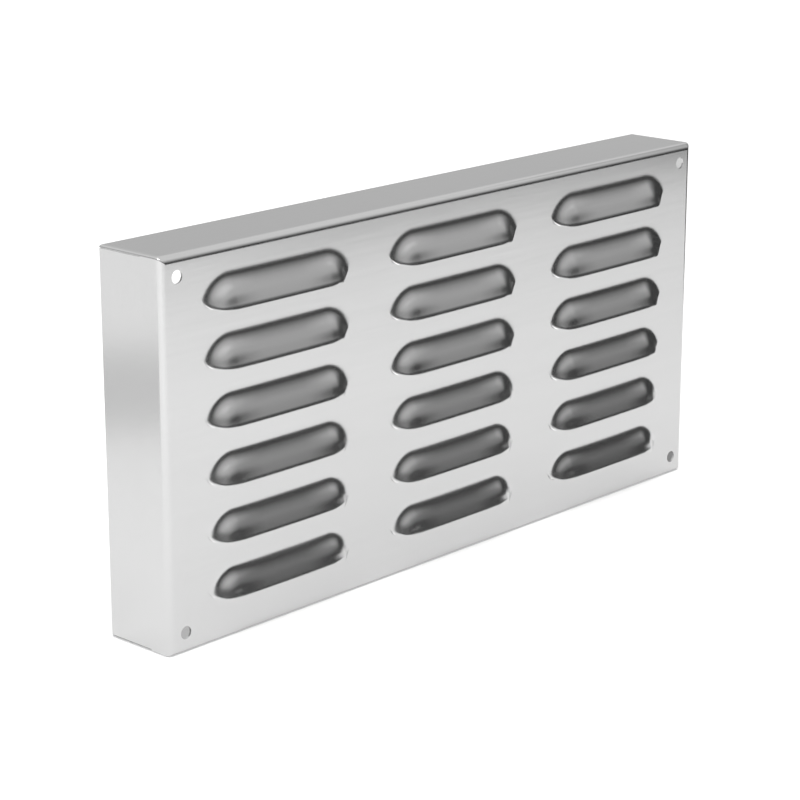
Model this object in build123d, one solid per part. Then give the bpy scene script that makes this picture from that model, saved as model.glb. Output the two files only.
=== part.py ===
from build123d import *
from math import acos, atan, cos, sin, sqrt, tan
import os

# A louvred vent panel for the side of a grill island: one sheet of stainless steel, with its four
# edges folded back into a shallow pan, a screw hole near each corner of its face, and rows of
# louvres pressed out of the face. Each louvre is a hood that is closed at its top and ends and
# open along its lower edge, so rain runs off it while air passes.
#
# Millimetres. The face lies in the XZ plane and looks towards -Y, with +Z up and the flanges
# going back towards +Y. The origin is the middle of the face, on its outer side, which is also
# the middle of the screw holes.

# The folded sheet
panel_width = 368.3
panel_height = 177.8
flange_depth = 38.1
sheet = 1.0
bend_radius = 3.2

# The corners: the side flanges butt against the top and bottom flanges, and a weld closes the
# front end of each seam and is ground smooth
seam_gap = 0.3
weld_length = 9.0
corner_radius = 0.6

# The screw holes
hole_diameter = 6.0
hole_inset = 9.5

# The louvre pattern
louvre_columns = 3
louvre_rows = 6
column_pitch = 116.0
row_pitch = 26.25
lowest_lip = 18.6

# One louvre: the hood's ramp rises straight from the face to the lip, and is rolled down to the face
# at both ends. The lance cut under the lip curves up to the tips of the hood and runs out just past
# them.
louvre_length = 89.0
louvre_height = 14.8
louvre_rise = 5.6
tip_height = 5.0
end_radius = 17.0
root_radius = 3.0
lip_end_radius = 10.0
cut_overrun = 0.3
tile_margin = 2.0

# What follows from these: the slope of the ramp, how deep the tips lie below the line of the ramp,
# how much of the ramp is flat, how steep the tips are, and how far the bend at the root spreads
ramp_angle = atan(louvre_rise / louvre_height)
tip_depth = (louvre_height - tip_height) * sin(ramp_angle)
flat_length = louvre_length - 2 * sqrt(tip_depth * (2 * end_radius - tip_depth))
tip_angle = acos(cos(ramp_angle) * (1 - tip_depth / end_radius))
root_toe = root_radius * tan(tip_angle / 2)


def box_between(low, high):
    """Box from its lowest corner to its highest corner."""
    size = Vector(*high) - Vector(*low)
    middle = (Vector(*high) + Vector(*low)) / 2
    return Pos(middle) * Box(size.X, size.Y, size.Z)


def bent_block(inset, radius):
    """A block that fills the pan, set in from its outside, with rounded front edges."""
    half_width = panel_width / 2 - inset
    half_height = panel_height / 2 - inset
    low = (-half_width, inset, -half_height)
    high = (half_width, flange_depth + inset, half_height)
    block = box_between(low, high)
    return fillet(block.faces().sort_by(Axis.Y)[0].edges(), radius)


def folded_pan():
    """The bare sheet with its four flanges folded back and its corners closed."""
    outside = bent_block(0, bend_radius)
    outside = fillet(outside.edges().filter_by(Axis.Y), corner_radius)
    return outside - bent_block(sheet, bend_radius - sheet)


def corner_seams():
    """The open part of the four butt seams, from the welds at the bends to the back edge."""
    seams = []
    inner = panel_height / 2 - sheet
    for side in (-1, 1):
        wall = sorted((side * (panel_width / 2 + sheet), side * (panel_width / 2 - sheet)))
        for end in (-1, 1):
            level = sorted((end * inner, end * (inner - seam_gap)))
            low = (wall[0], bend_radius + weld_length, level[0])
            high = (wall[1], flange_depth + sheet, level[1])
            seams.append(box_between(low, high))
    return seams


def screw_holes():
    """Cutters for the four screw holes."""
    spacing_x = panel_width - 2 * hole_inset
    spacing_z = panel_height - 2 * hole_inset
    places = Plane.XZ * GridLocations(spacing_x, spacing_z, 2, 2)
    cutter = Cylinder(hole_diameter / 2, 4 * sheet)
    return [place * cutter for place in places]


def ramp_bar(depth):
    """A round-sided bar along the ramp of a hood, whose skin lies this deep below the hood's own."""
    uphill = (0, -sin(ramp_angle), -cos(ramp_angle))
    across = Plane(origin=(0, 0, louvre_height), x_dir=(1, 0, 0), z_dir=uphill)
    profile = Pos(0, -end_radius) * SlotCenterToCenter(flat_length, 2 * (end_radius - depth))
    return extrude(across * profile, 2 * louvre_height, both=True)


def root_edges(sheet_piece, depth, tip, top):
    """Edges along which a hood leaves the flat of the sheet, on the side at this depth."""
    flats = sheet_piece.faces().filter_by(Plane.XZ)
    flat = flats.filter_by_position(Axis.Y, depth - sheet / 4, depth + sheet / 4)[0]
    return flat.edges().filter_by_position(Axis.X, -tip, tip).filter_by_position(Axis.Z, 0, top)


def pressed_sheet(width, bottom, top, tip):
    """A rectangle of sheet with a hood pressed out of it, as far down as the rectangle goes."""
    plain = box_between((-width / 2, 0, bottom), (width / 2, sheet, top))
    front = box_between((-width / 2, -2 * louvre_rise, bottom), (width / 2, sheet, top))
    pressed = plain + (ramp_bar(0) & front)
    pressed = fillet(root_edges(pressed, 0, tip, top - tile_margin), root_radius)
    pressed -= ramp_bar(sheet)
    return fillet(root_edges(pressed, sheet, tip, top - tile_margin), root_radius + sheet)


def louvre_tile(width, bottom, top):
    """A rectangle of the face with one louvre in it, with the lip of the louvre at Z = 0."""
    tip = louvre_length / 2 + root_toe + cut_overrun
    straight = tip - sqrt(tip_height * (2 * lip_end_radius - tip_height))
    with BuildSketch(Plane.XZ) as above_lip:
        with BuildLine():
            Polyline((-tip, tip_height), (-width, tip_height), (-width, 2 * top))
            Polyline((-width, 2 * top), (width, 2 * top), (width, tip_height))
            Line((width, tip_height), (tip, tip_height))
            RadiusArc((tip, tip_height), (straight, 0), lip_end_radius)
            Line((straight, 0), (-straight, 0))
            RadiusArc((-straight, 0), (-tip, tip_height), lip_end_radius)
        make_face()
    hood_side = extrude(above_lip.sketch, 2 * louvre_rise, both=True)
    plain = box_between((-width / 2, 0, bottom), (width / 2, sheet, top))
    return (pressed_sheet(width, bottom, top, tip) & hood_side) + (plain - hood_side)


def louvred_panel():
    """The whole vent panel, as one solid."""
    width = louvre_length + 2 * (root_toe + cut_overrun + tile_margin)
    bottom = -tile_margin
    top = louvre_height + root_toe + tile_margin
    tile = louvre_tile(width, bottom, top)
    window = box_between((-width / 2, -sheet, bottom), (width / 2, 2 * sheet, top))
    first = lowest_lip - panel_height / 2
    middle = first + row_pitch * (louvre_rows - 1) / 2
    pattern = GridLocations(column_pitch, row_pitch, louvre_columns, louvre_rows)
    places = [Pos(place.position.X, 0, place.position.Y + middle) for place in pattern]

    panel = folded_pan() - screw_holes() - corner_seams()
    panel -= [place * window for place in places]
    panel += [place * tile for place in places]
    return panel


os.makedirs("parts", exist_ok=True)
vent_panel = louvred_panel()
vent_panel.label = "vent_panel"
export_step(vent_panel, "parts/vent_panel.step")
box = vent_panel.bounding_box()
print("vent_panel:", len(vent_panel.solids()), "solid,", len(vent_panel.faces()), "faces")
print("volume", round(vent_panel.volume), "box", box.min, box.max)
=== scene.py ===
# %% [markdown]
# # A louvred vent panel in folded stainless sheet
#
# The real panel is one sheet of steel. Its four edges are folded back into a shallow pan, a screw
# hole is punched near each corner, and eighteen louvres are pressed out of the face. This lesson
# makes the same sheet as one smooth mesh: first one louvre, then the bare pan and its brushed finish,
# then a node tree that sets the louvres in the face, and last the studio around it.

# %% Load the frame
import bpy
import numpy as np
from math import acos, cos, pi, radians, sin, sqrt, tan
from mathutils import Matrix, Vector


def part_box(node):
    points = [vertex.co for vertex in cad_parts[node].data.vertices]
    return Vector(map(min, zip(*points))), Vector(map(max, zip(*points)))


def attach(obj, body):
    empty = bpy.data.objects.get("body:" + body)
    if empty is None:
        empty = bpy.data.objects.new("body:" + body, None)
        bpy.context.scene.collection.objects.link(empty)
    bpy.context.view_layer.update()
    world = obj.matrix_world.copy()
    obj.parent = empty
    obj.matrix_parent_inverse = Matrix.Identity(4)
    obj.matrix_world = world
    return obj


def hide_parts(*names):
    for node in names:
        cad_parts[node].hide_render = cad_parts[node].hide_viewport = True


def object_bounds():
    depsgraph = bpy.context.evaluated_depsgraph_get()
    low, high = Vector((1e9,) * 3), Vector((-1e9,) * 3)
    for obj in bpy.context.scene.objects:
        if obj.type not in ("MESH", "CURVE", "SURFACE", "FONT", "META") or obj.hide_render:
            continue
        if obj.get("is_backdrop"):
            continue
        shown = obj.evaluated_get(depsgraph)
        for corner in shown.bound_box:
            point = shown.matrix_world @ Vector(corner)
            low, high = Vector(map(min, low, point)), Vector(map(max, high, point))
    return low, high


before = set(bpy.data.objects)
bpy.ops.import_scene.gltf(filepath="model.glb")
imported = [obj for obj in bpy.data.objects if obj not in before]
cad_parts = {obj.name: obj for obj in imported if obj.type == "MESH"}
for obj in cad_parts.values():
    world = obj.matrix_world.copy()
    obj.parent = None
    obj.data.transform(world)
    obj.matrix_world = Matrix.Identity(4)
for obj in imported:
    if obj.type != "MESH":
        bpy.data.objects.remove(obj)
cad_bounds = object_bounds()
panel_low, panel_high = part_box("vent_panel")
print("frame nodes:", list(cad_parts), "box:", panel_low, panel_high)

# %% [markdown]
# ## Sizes
#
# The outer size of the panel is read from the frame, so the mesh always fits it. The smaller sizes
# are those of the sheet and of the press tool. They could be typed where they are used, but kept
# together they read like a drawing. Blender works in metres, so a millimetre gets a name.

# %% Sizes of the sheet
mm = 0.001
half_width = panel_high[0]
half_height = panel_high[2]
flange_depth = panel_high[1]
louvre_rise = -panel_low[1]
sheet = 1.0 * mm
bend_radius = 3.2 * mm
corner_radius = 0.95 * mm
seam_gap = 0.3 * mm
weld_length = 9.0 * mm
hole_radius = 3.0 * mm
hole_inset = 9.5 * mm

# Extra grid lines lie this close to a fold or an edge, so that it shades crisply
support = 0.4 * mm

flat_x = half_width - bend_radius
flat_z = half_height - bend_radius
print("flat face:", round(2 * flat_x / mm, 1), "x", round(2 * flat_z / mm, 1), "mm")

# %% Sizes of the louvre pattern
louvre_columns = 3
louvre_rows = 6
column_pitch = 116.0 * mm
row_pitch = 26.25 * mm
lowest_lip = 18.6 * mm - half_height

# The tile is the patch of face that holds one louvre, measured from the middle of its lip
tile_half_width = 50.0 * mm
tile_below = 6.0 * mm
tile_above = row_pitch - tile_below
print("louvres:", louvre_columns * louvre_rows, "on tiles of", round(row_pitch / mm, 2), "mm")

# %% Sizes of one louvre
# The ramp, from the top of the hood to its lip
louvre_top = 16.2 * mm
ramp_slope = tan(radians(23))
ramp_start_radius = 5.5 * mm

# The wall round the ends: the tips, the radius of the ends seen from the front, the wall's own slope
louvre_half = 45.4 * mm
tip_height = 6.5 * mm
plan_radius = 20.0 * mm
wall_slope = tan(radians(43))
wall_root_radius = 10.0 * mm

# The lip: the curve of the cut up to the tips, and the last of the ramp that rolls back to the face
lip_end_radius = 12.0 * mm
lip_roll = 0.8 * mm
lip_roll_radius = 9.0 * mm
roll_from = 4.0 * mm

# The swelling near each end: its height and size, its middle, and how it dies out near the lip
bulge_height = 0.7 * mm
bulge_length = 5.0 * mm
bulge_width = 4.5 * mm
bulge_x = 31.5 * mm
bulge_z = 7.0 * mm
bulge_fade = 6.0 * mm
bulge_from = 2.0 * mm

# What follows: the middle of the round ends, and where the straight part of the lip stops
round_z = louvre_top - plan_radius
round_x = louvre_half - sqrt(plan_radius**2 - (tip_height - round_z) ** 2)
lip_straight = louvre_half - sqrt(tip_height * (2 * lip_end_radius - tip_height))
print("straight part of the lip:", round(2 * lip_straight / mm, 1), "mm")

# %% [markdown]
# ## One louvre
#
# A louvre is a hood: the sheet is cut along the lip and pressed out above the cut, so the hood is
# closed at its top and ends and open along its lower edge. It could be sculpted or cut with booleans,
# but a press tool follows a rule, so a height formula gives a cleaner surface. A ramp rises towards
# the lip, a wall with a soft root runs round the ends, and the two flow into each other. Near each
# end, where the metal is stretched most, it swells a little, and at the lip it rolls back.
# The tile has two grids that share the line of the cut: the upper one carries the hood and the lower
# one stays flat. Beyond the tips the hood has no height, so there the two grids meet and are joined
# later, while between the tips the cut stays open.

# %% The height formula of the hood
# Keeps the blend of ramp and wall from dividing by nothing on the flat
smallest = 1e-12


def slope_with_root(distance, slope, radius):
    """Height of a slope that leaves the flat with a round root, this far in from its foot."""
    bend = radius * slope
    inside = np.maximum(distance, 0)
    return np.where(inside < bend, inside**2 / (2 * radius), slope * (inside - bend / 2))


def pressed_height(x, z):
    """The press tool's own shape: a ramp and a wall round it, flowing into each other."""
    out_x = np.maximum(np.abs(x) - round_x, 0)
    out_z = np.maximum(z - round_z, 0)
    wall = slope_with_root(plan_radius - np.hypot(out_x, out_z), wall_slope, wall_root_radius)
    ramp = slope_with_root(louvre_top - z, ramp_slope, ramp_start_radius)
    return ramp * wall / np.sqrt(ramp**2 + wall**2 + smallest)


def hood_height(x, z, cut):
    """How far the sheet stands out of the face at these points of the tile."""
    height = pressed_height(x, z) * louvre_rise / pressed_height(0.0, lip_roll)
    to_lip = np.clip(lip_roll - (z - cut), 0, lip_roll)
    roll = ramp_slope * to_lip + to_lip**2 / (2 * lip_roll_radius)
    away = np.hypot((np.abs(x) - bulge_x) / bulge_length, (z - bulge_z) / bulge_width)
    rise = np.clip((z - cut) / bulge_fade, 0, 1)
    bulge = bulge_height * np.exp(-(away**2) / 2) * rise**2 * (3 - 2 * rise)
    bulge *= np.minimum(1, height / bulge_from)
    roll *= np.minimum(1, height / roll_from)
    height = np.maximum(height + (bulge - roll), 0)
    return np.minimum(height, louvre_rise)


def cut_line(x):
    """Height of the cut over the tile: straight in the middle and curving up to the tips."""
    along = np.clip(np.abs(x) - lip_straight, 0, louvre_half - lip_straight)
    return lip_end_radius - np.sqrt(lip_end_radius**2 - along**2)


# %% Grid lines of the tile
# Few lines where the hood is straight, more where its ends roll down and its lip curves up
middle_end = 28.0 * mm
rolled_start = 29.5 * mm
before_curve = 0.9 * mm
after_tip = 1.2 * mm
bend_turn = acos(1 - tip_height / lip_end_radius)
middle_x = np.linspace(0, middle_end, 5)
rolled_x = np.linspace(rolled_start, lip_straight - before_curve, 8)
tip_arc_x = lip_straight + lip_end_radius * np.sin(np.linspace(0, bend_turn, 12))
outer_x = np.linspace(louvre_half + after_tip, tile_half_width, 3)
right_x = np.concatenate([middle_x, rolled_x, tip_arc_x, outer_x])
tile_x = np.concatenate([-right_x[:0:-1], right_x])
upper_steps = np.linspace(0, 1, 21)
lower_steps = np.linspace(0, 1, 4)
side_z = np.concatenate(
    [
        -tile_below + (tip_height + tile_below) * lower_steps,
        tip_height + (tile_above - tip_height) * upper_steps[1:],
    ]
)
print("tile grid:", len(tile_x), "by", len(side_z), "lines")


# %% The mesh of one louvre tile
def grid_faces(columns, rows, first):
    """Quads of a grid of points numbered column by column, facing out of the panel."""
    faces = []
    for i in range(columns - 1):
        for j in range(rows - 1):
            corner = first + i * rows + j
            faces.append((corner, corner + rows, corner + rows + 1, corner + 1))
    return faces


def mesh_object(name, points, faces):
    """A new object in the scene with this mesh, at the origin."""
    mesh = bpy.data.meshes.new(name)
    mesh.from_pydata([tuple(float(v) for v in p) for p in points], [], faces)
    mesh.update()
    piece = bpy.data.objects.new(name, mesh)
    bpy.context.scene.collection.objects.link(piece)
    return piece


def louvre_tile():
    """One louvre with the flat sheet round it, with its lip at Z = 0."""
    cut = cut_line(tile_x)
    points = []
    for x, z_cut in zip(tile_x, cut):
        z = z_cut + (tile_above - z_cut) * upper_steps
        points += [(x, -y, v) for y, v in zip(hood_height(x, z, z_cut), z)]
    faces = grid_faces(len(tile_x), len(upper_steps), 0)
    first = len(points)
    for x, z_cut in zip(tile_x, cut):
        points += [(x, 0, v) for v in -tile_below + (z_cut + tile_below) * lower_steps]
    faces += grid_faces(len(tile_x), len(lower_steps), first)
    return mesh_object("louvre_tile", points, faces)


tile = louvre_tile()
tile_rise = -min(point.co.y for point in tile.data.vertices)
print("louvre tile:", len(tile.data.polygons), "faces, stands out", round(tile_rise / mm, 2), "mm")

# %% [markdown]
# ## The folded pan
#
# Round the louvres the sheet is flat, then it bends back with a small radius and becomes the flanges.
# A bevelled cube would do, but its edges would not meet those of the louvre tiles. So the flat part
# is one grid whose lines run on from the tiles, with windows left for them, and the folds are rings
# of quads that grow out of its border. The screw holes are rings too, between a hole and the grid
# round it. At the corners the side flanges butt against the top and bottom ones: the front end of
# that seam is welded and ground smooth, and the rest stays open as a fine gap.

# %% Grid lines of the flat face
column_x = (np.arange(louvre_columns) - (louvre_columns - 1) / 2) * column_pitch
lip_z = lowest_lip + np.arange(louvre_rows) * row_pitch
block_low = lip_z[0] - tile_below
block_high = lip_z[-1] + tile_above
block_x = column_x[-1] + tile_half_width
margin_x = np.concatenate([np.linspace(block_x, flat_x - support, 13)[1:], [flat_x]])
low_z = np.concatenate([[-flat_z], np.linspace(support - flat_z, block_low, 8)[:-1]])
high_z = np.concatenate([np.linspace(block_high, flat_z - support, 5)[1:], [flat_z]])
face_x = np.concatenate([-margin_x] + [middle + tile_x for middle in column_x] + [margin_x])
face_x = np.unique(np.round(face_x, 9))
band_z = np.concatenate([lip + side_z[:-1] for lip in lip_z])
face_z = np.concatenate([low_z, band_z, [block_high], high_z])
face_z = np.unique(np.round(face_z, 9))
print("face grid:", len(face_x), "by", len(face_z), "lines")


# %% The flat face with windows and screw holes
hole_margin = 1.4 * mm


def in_window(x, z):
    """True inside one of the bands that the louvre tiles fill."""
    return block_low < z < block_high and any(abs(x - c) < tile_half_width for c in column_x)


def hole_patch(lines, centre):
    """First and last grid line of the square of cells that a screw hole is set in."""
    reach = hole_radius + hole_margin
    return np.searchsorted(lines, centre - reach) - 1, np.searchsorted(lines, centre + reach)


def flat_face():
    """Points and quads of the flat sheet, with a ring of quads round each screw hole."""
    rows = len(face_z)
    points = [(x, 0.0, z) for x in face_x for z in face_z]
    keep = np.ones((len(face_x) - 1, rows - 1), bool)
    for i in range(len(face_x) - 1):
        for j in range(rows - 1):
            middle = (face_x[i] + face_x[i + 1]) / 2, (face_z[j] + face_z[j + 1]) / 2
            keep[i, j] = not in_window(*middle)
    faces = []
    for sx in (-1, 1):
        for sz in (-1, 1):
            centre = np.array([sx * (half_width - hole_inset), sz * (half_height - hole_inset)])
            i0, i1 = hole_patch(face_x, centre[0])
            j0, j1 = hole_patch(face_z, centre[1])
            keep[i0:i1, j0:j1] = False
            border = [(i, j0) for i in range(i0, i1)] + [(i1, j) for j in range(j0, j1)]
            border += [(i, j1) for i in range(i1, i0, -1)] + [(i0, j) for j in range(j1, j0, -1)]
            first = len(points)
            for i, j in border:
                out = np.array([face_x[i], face_z[j]]) - centre
                rim = centre + out / np.linalg.norm(out) * hole_radius
                points.append((rim[0], 0.0, rim[1]))
            for k, (i, j) in enumerate(border):
                after = (k + 1) % len(border)
                i2, j2 = border[after]
                faces.append((i * rows + j, i2 * rows + j2, first + after, first + k))
    for i, j in zip(*np.nonzero(keep)):
        corner = int(i) * rows + int(j)
        faces.append((corner, corner + rows, corner + rows + 1, corner + 1))
    return points, faces


# %% The folds and flanges
bend_steps = np.linspace(0, pi / 2, 8)[1:]
flange_y = [bend_radius + support, bend_radius + weld_length, flange_depth / 2, flange_depth - support]
flange_y = np.array(flange_y + [flange_depth])
ring_out = np.concatenate([bend_radius * np.sin(bend_steps), np.full(len(flange_y), bend_radius)])
ring_y = np.concatenate([bend_radius * (1 - np.cos(bend_steps)), flange_y])
seam_low = (bend_radius - sheet - seam_gap) / bend_radius
seam_high = (bend_radius - sheet) / bend_radius
corner_steps = np.linspace(0, pi / 2, 5)
tolerance = 1e-7


def corner_points(sx, sz, out):
    """Points round one corner of a ring, from the side flange to the top or bottom flange."""
    radius = corner_radius * out / bend_radius
    level = sz * flat_z
    edge = sx * (flat_x + out)
    points = [(edge, level + sz * out * seam_low), (edge, level + sz * out * seam_high)]
    centre = sx * (flat_x + out - radius), sz * (flat_z + out - radius)
    for turn in corner_steps:
        points.append((centre[0] + sx * radius * cos(turn), centre[1] + sz * radius * sin(turn)))
    return points


def ring_points(out):
    """Points of one ring round the panel: along the top, down the right side and so on round."""
    ring = [(x, flat_z + out) for x in face_x[1:-1]]
    ring += corner_points(1, 1, out)[::-1]
    ring += [(flat_x + out, z) for z in face_z[-2:0:-1]]
    ring += corner_points(1, -1, out)
    ring += [(x, -flat_z - out) for x in face_x[-2:0:-1]]
    ring += corner_points(-1, -1, out)[::-1]
    ring += [(-flat_x - out, z) for z in face_z[1:-1]]
    ring += corner_points(-1, 1, out)
    return ring


def ring_owners():
    """For each point of a ring, the point of the flat face that it grows out of."""
    rows = len(face_z)
    last = len(face_x) - 1
    fan = 2 + len(corner_steps)
    owners = [i * rows + rows - 1 for i in range(1, last)]
    owners += [last * rows + rows - 1] * fan
    owners += [last * rows + j for j in range(rows - 2, 0, -1)]
    owners += [last * rows] * fan
    owners += [i * rows for i in range(last - 1, 0, -1)]
    owners += [0] * fan
    owners += [j for j in range(1, rows - 1)]
    owners += [rows - 1] * fan
    return owners


def is_seam(a, b, y):
    """True for the stretch between two ring points that the open part of a corner seam crosses."""
    on_side = abs(a[0] - b[0]) < tolerance
    high = max(abs(a[1]), abs(b[1])) - flat_z
    low = min(abs(a[1]), abs(b[1])) - flat_z
    above = low > bend_radius * seam_low - tolerance
    below = high < bend_radius * seam_high + tolerance
    past_weld = y > bend_radius + weld_length - tolerance
    return on_side and above and below and past_weld


def folded_pan():
    """The bare sheet: the flat face and the folds and flanges round it."""
    points, faces = flat_face()
    before = ring_owners()
    count = len(before)
    for level, (out, y) in enumerate(zip(ring_out, ring_y)):
        ring = ring_points(out)
        first = len(points)
        points += [(x, y, z) for x, z in ring]
        for k in range(count):
            after = (k + 1) % count
            if level and is_seam(ring[k], ring[after], ring_y[level - 1]):
                continue
            corners = [before[k], before[after], first + after, first + k]
            if before[k] == before[after]:
                corners.pop(1)
            faces.append(tuple(corners))
        before = list(range(first, first + count))
    return mesh_object("vent_sheet", points, faces)


sheet_piece = folded_pan()
print("folded pan:", len(sheet_piece.data.polygons), "faces")

# %% [markdown]
# ## The brushed finish
#
# The sheet is brushed along its length with a fine belt, so its shine is soft and drawn out across
# the grain. Two things vary over it: hair-fine lines, which are noise stretched along X, and a slow
# cloudiness where the belt pressed harder. Both go in a node group that puts out a colour, a
# roughness and a height, so that any brushed part can share it. The shader stays in the material.

# %% A node group for brushed metal
def new_group(name, inputs, outputs):
    """An empty shader node group with named value and colour sockets."""
    group = bpy.data.node_groups.new(name, "ShaderNodeTree")
    for label, kind, default in inputs:
        socket = group.interface.new_socket(label, in_out="INPUT", socket_type=kind)
        socket.default_value = default
    for label, kind in outputs:
        group.interface.new_socket(label, in_out="OUTPUT", socket_type=kind)
    return group, group.nodes.new("NodeGroupInput"), group.nodes.new("NodeGroupOutput")


def math_node(nodes, links, operation, *values):
    """A Math node whose inputs are numbers or sockets; gives back its output socket."""
    node = nodes.new("ShaderNodeMath")
    node.operation = operation
    for socket, value in zip(node.inputs, values):
        if isinstance(value, (int, float)):
            socket.default_value = value
        else:
            links.new(value, socket)
    return node.outputs[0]


def stretched_noise(nodes, links, vector, scale, detail):
    """Noise whose scale differs along X, Y and Z; gives back a value from 0 to 1."""
    mapping = nodes.new("ShaderNodeMapping")
    mapping.inputs["Scale"].default_value = scale
    links.new(vector, mapping.inputs["Vector"])
    noise = nodes.new("ShaderNodeTexNoise")
    noise.inputs["Scale"].default_value = 1.0
    noise.inputs["Detail"].default_value = detail
    links.new(mapping.outputs["Vector"], noise.inputs["Vector"])
    return noise.outputs["Fac"]


def brushed_metal_group():
    """Colour, roughness and height of metal brushed along X."""
    inputs = [
        ("Position", "NodeSocketVector", (0, 0, 0)),
        ("Colour", "NodeSocketColor", (0.6, 0.6, 0.6, 1)),
        ("Roughness", "NodeSocketFloat", 0.25),
        ("Grain", "NodeSocketFloat", 0.06),
        ("Cloud", "NodeSocketFloat", 0.04),
    ]
    outputs = [
        ("Colour", "NodeSocketColor"),
        ("Roughness", "NodeSocketFloat"),
        ("Height", "NodeSocketFloat"),
    ]
    group, source, result = new_group("brushed_metal", inputs, outputs)
    nodes, links = group.nodes, group.links
    place = source.outputs["Position"]
    # The scales are per metre along X, Y and Z, so the first two noises are long lines along X
    fine = stretched_noise(nodes, links, place, (40, 2600, 2600), 3)
    broad = stretched_noise(nodes, links, place, (9, 520, 520), 2)
    cloud = stretched_noise(nodes, links, place, (7, 22, 26), 2)
    broad_part = math_node(nodes, links, "MULTIPLY", broad, 0.4)
    lines = math_node(nodes, links, "MULTIPLY_ADD", fine, 0.6, broad_part)
    centred = math_node(nodes, links, "SUBTRACT", lines, 0.5)
    drift = math_node(nodes, links, "SUBTRACT", cloud, 0.5)
    grain = math_node(nodes, links, "MULTIPLY", centred, source.outputs["Grain"])
    mottle = math_node(nodes, links, "MULTIPLY", drift, source.outputs["Cloud"])
    change = math_node(nodes, links, "ADD", grain, mottle)
    rough = math_node(nodes, links, "ADD", source.outputs["Roughness"], change)
    darker = math_node(nodes, links, "MULTIPLY", change, 0.8)
    bright = math_node(nodes, links, "SUBTRACT", 1.0, darker)
    tint = nodes.new("ShaderNodeVectorMath")
    tint.operation = "SCALE"
    links.new(source.outputs["Colour"], tint.inputs[0])
    links.new(bright, tint.inputs["Scale"])
    links.new(tint.outputs[0], result.inputs["Colour"])
    links.new(rough, result.inputs["Roughness"])
    links.new(lines, result.inputs["Height"])
    return group


brushed_metal = brushed_metal_group()
print("group:", brushed_metal.name, [item.name for item in brushed_metal.interface.items_tree])


# %% The stainless material
def stainless_material():
    """Satin stainless steel, brushed along X."""
    material = bpy.data.materials.new("brushed_stainless")
    material.use_nodes = True
    nodes, links = material.node_tree.nodes, material.node_tree.links
    shader = nodes["Principled BSDF"]
    shader.inputs["Metallic"].default_value = 1.0
    place = nodes.new("ShaderNodeTexCoord")
    finish = nodes.new("ShaderNodeGroup")
    finish.node_tree = brushed_metal
    finish.inputs["Colour"].default_value = (0.55, 0.55, 0.55, 1)
    finish.inputs["Roughness"].default_value = 0.19
    finish.inputs["Grain"].default_value = 0.10
    finish.inputs["Cloud"].default_value = 0.05
    links.new(place.outputs["Object"], finish.inputs["Position"])
    links.new(finish.outputs["Colour"], shader.inputs["Base Color"])
    links.new(finish.outputs["Roughness"], shader.inputs["Roughness"])
    bump = nodes.new("ShaderNodeBump")
    bump.inputs["Strength"].default_value = 0.05
    bump.inputs["Distance"].default_value = 0.02 * mm
    links.new(finish.outputs["Height"], bump.inputs["Height"])
    links.new(bump.outputs["Normal"], shader.inputs["Normal"])
    return material


stainless = stainless_material()
print("material:", stainless.name)

# %% [markdown]
# ## Repeating the louvre
#
# The louvres are a regular pattern, so a Geometry Nodes tree places them: a grid of points, one tile
# on each, made real and welded to the pan. Its inputs are the numbers that a sheet-metal shop would
# ask for. The Solidify modifier then gives the sheet its thickness, inwards from the outer skin.

# %% The pattern tree
merge_distance = 0.004 * mm


def louvre_pattern_tree():
    """Node tree that sets the louvre tile in the face, in columns and rows."""
    tree = bpy.data.node_groups.new("louvre_pattern", "GeometryNodeTree")
    sockets = tree.interface
    sockets.new_socket("Pan", in_out="INPUT", socket_type="NodeSocketGeometry")
    sockets.new_socket("Louvre", in_out="INPUT", socket_type="NodeSocketObject")
    sockets.new_socket("Columns", in_out="INPUT", socket_type="NodeSocketInt")
    sockets.new_socket("Rows", in_out="INPUT", socket_type="NodeSocketInt")
    sockets.new_socket("Width", in_out="INPUT", socket_type="NodeSocketFloat")
    sockets.new_socket("Height", in_out="INPUT", socket_type="NodeSocketFloat")
    sockets.new_socket("Middle", in_out="INPUT", socket_type="NodeSocketVector")
    sockets.new_socket("Finish", in_out="INPUT", socket_type="NodeSocketMaterial")
    sockets.new_socket("Sheet", in_out="OUTPUT", socket_type="NodeSocketGeometry")
    nodes, links = tree.nodes, tree.links
    given = nodes.new("NodeGroupInput")
    made = nodes.new("NodeGroupOutput")
    places = nodes.new("GeometryNodeMeshGrid")
    links.new(given.outputs["Width"], places.inputs["Size X"])
    links.new(given.outputs["Height"], places.inputs["Size Y"])
    links.new(given.outputs["Columns"], places.inputs["Vertices X"])
    links.new(given.outputs["Rows"], places.inputs["Vertices Y"])
    upright = nodes.new("GeometryNodeTransform")
    upright.inputs["Rotation"].default_value = (pi / 2, 0, 0)
    links.new(places.outputs["Mesh"], upright.inputs["Geometry"])
    links.new(given.outputs["Middle"], upright.inputs["Translation"])
    source = nodes.new("GeometryNodeObjectInfo")
    links.new(given.outputs["Louvre"], source.inputs["Object"])
    copies = nodes.new("GeometryNodeInstanceOnPoints")
    links.new(upright.outputs["Geometry"], copies.inputs["Points"])
    links.new(source.outputs["Geometry"], copies.inputs["Instance"])
    real = nodes.new("GeometryNodeRealizeInstances")
    links.new(copies.outputs["Instances"], real.inputs["Geometry"])
    joined = nodes.new("GeometryNodeJoinGeometry")
    links.new(given.outputs["Pan"], joined.inputs["Geometry"])
    links.new(real.outputs["Geometry"], joined.inputs["Geometry"])
    welded = nodes.new("GeometryNodeMergeByDistance")
    welded.inputs["Distance"].default_value = merge_distance
    links.new(joined.outputs["Geometry"], welded.inputs["Geometry"])
    finish = nodes.new("GeometryNodeSetMaterial")
    links.new(welded.outputs["Geometry"], finish.inputs["Geometry"])
    links.new(given.outputs["Finish"], finish.inputs["Material"])
    links.new(finish.outputs["Geometry"], made.inputs["Sheet"])
    return tree


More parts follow.
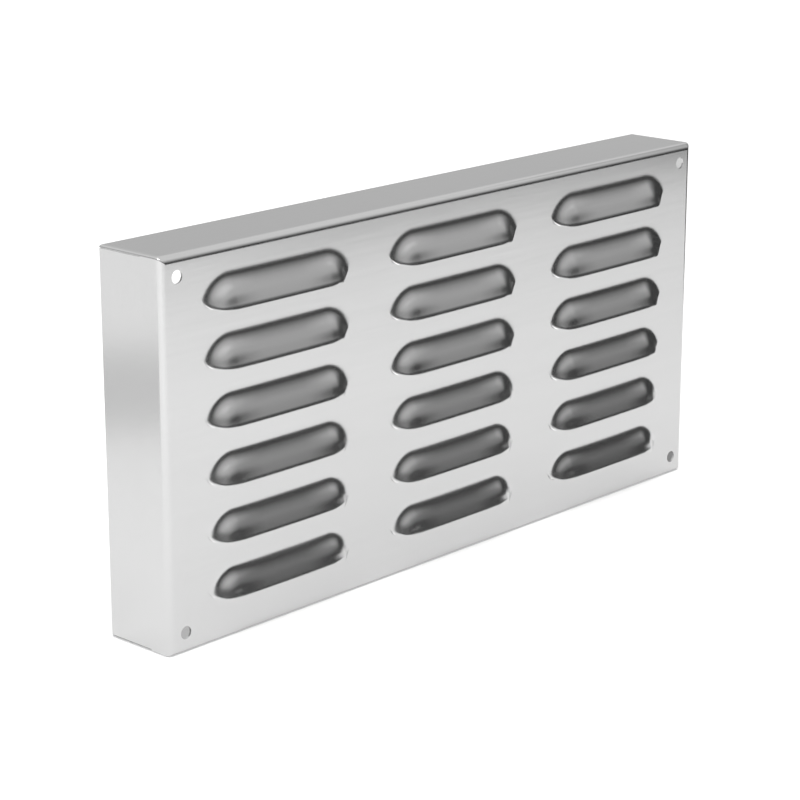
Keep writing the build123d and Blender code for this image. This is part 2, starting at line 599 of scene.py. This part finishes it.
def set_inputs(modifier, tree, values):
    """Sets a node modifier's inputs by their names in the tree."""
    for item in tree.interface.items_tree:
        if item.in_out == "INPUT" and item.name in values:
            modifier[item.identifier] = values[item.name]


# %% The whole sheet
pattern = louvre_pattern_tree()
modifier = sheet_piece.modifiers.new("Louvre pattern", "NODES")
modifier.node_group = pattern
pattern_values = {
    "Louvre": tile,
    "Columns": louvre_columns,
    "Rows": louvre_rows,
    "Width": (louvre_columns - 1) * column_pitch,
    "Height": (louvre_rows - 1) * row_pitch,
    "Middle": (0.0, 0.0, float((lip_z[0] + lip_z[-1]) / 2)),
    "Finish": stainless,
}
set_inputs(modifier, pattern, pattern_values)
thickness = sheet_piece.modifiers.new("Sheet thickness", "SOLIDIFY")
thickness.thickness = sheet
thickness.offset = -1
thickness.use_even_offset = False


def made_plain(piece, name):
    """The evaluated mesh of a piece as a new plain object, with the old one removed."""
    evaluated = piece.evaluated_get(bpy.context.evaluated_depsgraph_get())
    mesh = bpy.data.meshes.new_from_object(evaluated)
    mesh.name = name
    plain = bpy.data.objects.new(name, mesh)
    bpy.context.scene.collection.objects.link(plain)
    bpy.data.objects.remove(piece)
    return plain


sharp_angle = radians(38)
panel = made_plain(sheet_piece, "vent_panel_steel")
bpy.data.objects.remove(tile)
panel.data.materials.clear()
panel.data.materials.append(stainless)
panel.data.polygons.foreach_set("material_index", [0] * len(panel.data.polygons))
panel.data.shade_smooth()
panel.data.set_sharp_from_angle(angle=sharp_angle)
edge_uses = {}
for polygon in panel.data.polygons:
    for key in polygon.edge_keys:
        edge_uses[key] = edge_uses.get(key, 0) + 1
open_edges = sum(1 for uses in edge_uses.values() if uses != 2)
print("panel:", len(panel.data.polygons), "faces, open edges:", open_edges)

# %% [markdown]
# ## The panel in its frame
#
# The source also has the panel, as a plain solid. It could be dressed as it is, but its few faces are
# too coarse for soft reflections, so the finished mesh takes its place, on the one body that the part
# has and with the material slot of its sheet.

# %% Put the panel in the frame
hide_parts("vent_panel")
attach(panel, "root")
print("panel materials:", [m.name for m in panel.data.materials])

# %% [markdown]
# ## The studio
#
# Steel shows what stands round it, so the studio is part of the finish. It could be an image of a
# room, but a few plain cards are easier to place. A wide white floor gives the pale face, and a soft
# lamp overhead lights it, more on the left. A tall graded grey card stands in front and to the right:
# it makes the dark lines along the folds and the grey of the hoods, darker in the lower rows. A low
# pale card behind, on the left, makes the grey band across the end flange. Only the steel sees them.

# %% Floor
floor_lift = 0.22


def floor_material():
    """Matt white that looks a little brighter than its light, to the camera and in the steel."""
    material = bpy.data.materials.new("white_floor")
    material.use_nodes = True
    nodes, links = material.node_tree.nodes, material.node_tree.links
    shader = nodes["Principled BSDF"]
    shader.inputs["Base Color"].default_value = (0.92, 0.92, 0.92, 1)
    shader.inputs["Roughness"].default_value = 0.9
    shader.inputs["Specular IOR Level"].default_value = 0.0
    shader.inputs["Emission Color"].default_value = (1, 1, 1, 1)
    rays = nodes.new("ShaderNodeLightPath")
    direct = rays.outputs["Is Camera Ray"]
    seen = math_node(nodes, links, "MAXIMUM", direct, rays.outputs["Is Glossy Ray"])
    seen = math_node(nodes, links, "MAXIMUM", seen, rays.outputs["Is Transmission Ray"])
    lift = math_node(nodes, links, "MULTIPLY", seen, floor_lift)
    links.new(lift, shader.inputs["Emission Strength"])
    return material


floor_size = 60.0
floor_z = panel_low[2]
corners = [(-1, -1), (1, -1), (1, 1), (-1, 1)]
floor_points = [(x * floor_size / 2, y * floor_size / 2, floor_z) for x, y in corners]
floor = mesh_object("floor", floor_points, [(0, 1, 2, 3)])
floor.data.materials.append(floor_material())
floor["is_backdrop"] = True
print("floor at", round(floor_z / mm, 1), "mm")

# %% The grey cards
def card_material(name, low, high, dark, light):
    """Grey that is dark up to one height and grows lighter up to another."""
    material = bpy.data.materials.new(name)
    material.use_nodes = True
    nodes, links = material.node_tree.nodes, material.node_tree.links
    nodes.remove(nodes["Principled BSDF"])
    place = nodes.new("ShaderNodeTexCoord")
    split = nodes.new("ShaderNodeSeparateXYZ")
    links.new(place.outputs["Object"], split.inputs[0])
    height = nodes.new("ShaderNodeMapRange")
    height.inputs["From Min"].default_value = low
    height.inputs["From Max"].default_value = high
    height.inputs["To Min"].default_value = dark
    height.inputs["To Max"].default_value = light
    links.new(split.outputs["Z"], height.inputs["Value"])
    glow = nodes.new("ShaderNodeEmission")
    links.new(height.outputs["Result"], glow.inputs["Strength"])
    links.new(glow.outputs["Emission"], nodes["Material Output"].inputs["Surface"])
    return material


def standing_card(name, path, top, material):
    """A card that stands on the floor along a path and shows only in the steel."""
    points = []
    for x, y in path:
        points += [(x, y, floor_z), (x, y, top)]
    card = mesh_object(name, points, grid_faces(len(path), 2, 0))
    card.data.materials.append(material)
    card.visible_camera = False
    card.visible_diffuse = False
    card.visible_shadow = False
    card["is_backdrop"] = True
    return card


# The paths run over the floor from the left end of a card to its right end
graded_grey = card_material("graded_grey", low=0.11, high=0.42, dark=0.06, light=0.68)
front_path = [(-0.66, -1.06), (-0.40, -1.20), (-0.10, -1.20), (0.08, -1.08)]
front_path += [(0.20, -0.92), (0.32, -0.76)]
side_path = [(0.46, -0.64), (0.62, -0.61), (0.92, -0.60), (1.00, -0.52)]
side_path += [(0.86, -0.34), (0.68, -0.18), (0.56, -0.04), (0.54, 0.04)]
dark_card = standing_card("dark_card", front_path + side_path, top=0.56, material=graded_grey)
pale_grey = card_material("pale_grey", low=-0.10, high=0.10, dark=0.90, light=0.90)
low_path = [(-0.56, 0.10), (-0.28, 0.40)]
low_card_height = 48.0 * mm
low_card = standing_card("low_card", low_path, top=floor_z + low_card_height, material=pale_grey)
print("cards:", dark_card.name, low_card.name)


# %% World and lamp
def studio_world():
    """Pale light from all round, a little stronger from above."""
    world = bpy.data.worlds.new("studio")
    world.use_nodes = True
    nodes, links = world.node_tree.nodes, world.node_tree.links
    place = nodes.new("ShaderNodeTexCoord")
    split = nodes.new("ShaderNodeSeparateXYZ")
    links.new(place.outputs["Generated"], split.inputs[0])
    height = nodes.new("ShaderNodeMapRange")
    height.inputs["From Min"].default_value = 0.22
    height.inputs["From Max"].default_value = 0.60
    height.inputs["To Min"].default_value = 0.60
    height.inputs["To Max"].default_value = 1.0
    links.new(split.outputs["Z"], height.inputs["Value"])
    background = nodes["Background"]
    links.new(height.outputs["Result"], background.inputs["Strength"])
    background.inputs["Color"].default_value = (1, 1, 1, 1)
    bpy.context.scene.world = world
    return world


def area_lamp(name, place, target, size, power):
    """A square soft lamp that faces a point."""
    light = bpy.data.lights.new(name, "AREA")
    light.shape = "SQUARE"
    light.size = size
    light.energy = power
    lamp = bpy.data.objects.new(name, light)
    lamp.location = place
    lamp.rotation_euler = (Vector(target) - Vector(place)).to_track_quat("-Z", "Y").to_euler()
    bpy.context.scene.collection.objects.link(lamp)
    return lamp


world = studio_world()
lamp_place = (-0.8, -0.65, 1.35)
lamp_target = (-0.6, -0.5, 0)
overhead = area_lamp("overhead_lamp", lamp_place, lamp_target, size=0.9, power=13)
print("world and lamp:", world.name, overhead.name)

# %% [markdown]
# ## The camera
#
# The camera looks at the panel from its left, a little from above, with a long lens, so the near end
# of the panel is only slightly larger than the far end. A shifted lens would move the panel in the
# frame too, but also in every other view, so the camera is simply aimed at the middle of the picture.

# %% Camera
target = Vector((-0.0378, 0.0, -0.0030))
azimuth = radians(-47.16)
elevation = radians(16.10)
distance = 1.1540
direction = Vector((sin(azimuth) * cos(elevation), -cos(azimuth) * cos(elevation), sin(elevation)))
camera_data = bpy.data.cameras.new("camera")
camera_data.sensor_width = 36.0
camera_data.lens = 111.59
camera = bpy.data.objects.new("camera", camera_data)
camera.location = target + distance * direction
camera.rotation_euler = (-direction).to_track_quat("-Z", "Y").to_euler()
bpy.context.scene.collection.objects.link(camera)
bpy.context.scene.camera = camera
bpy.context.scene.view_settings.view_transform = "Standard"
print("camera at", [round(v, 3) for v in camera.location])

# %% [markdown]
# ## Sizes for the record
#
# The boxes of the source and of the dressed scene are printed side by side
# before the scene is closed. A dressed part must not outgrow its source.

# %% Finish
visual_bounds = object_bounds()
boxes = {"cad": cad_bounds, "visual": visual_bounds}
boxes = {name: [[float(v) for v in corner] for corner in box] for name, box in boxes.items()}
print("sizes:", boxes)
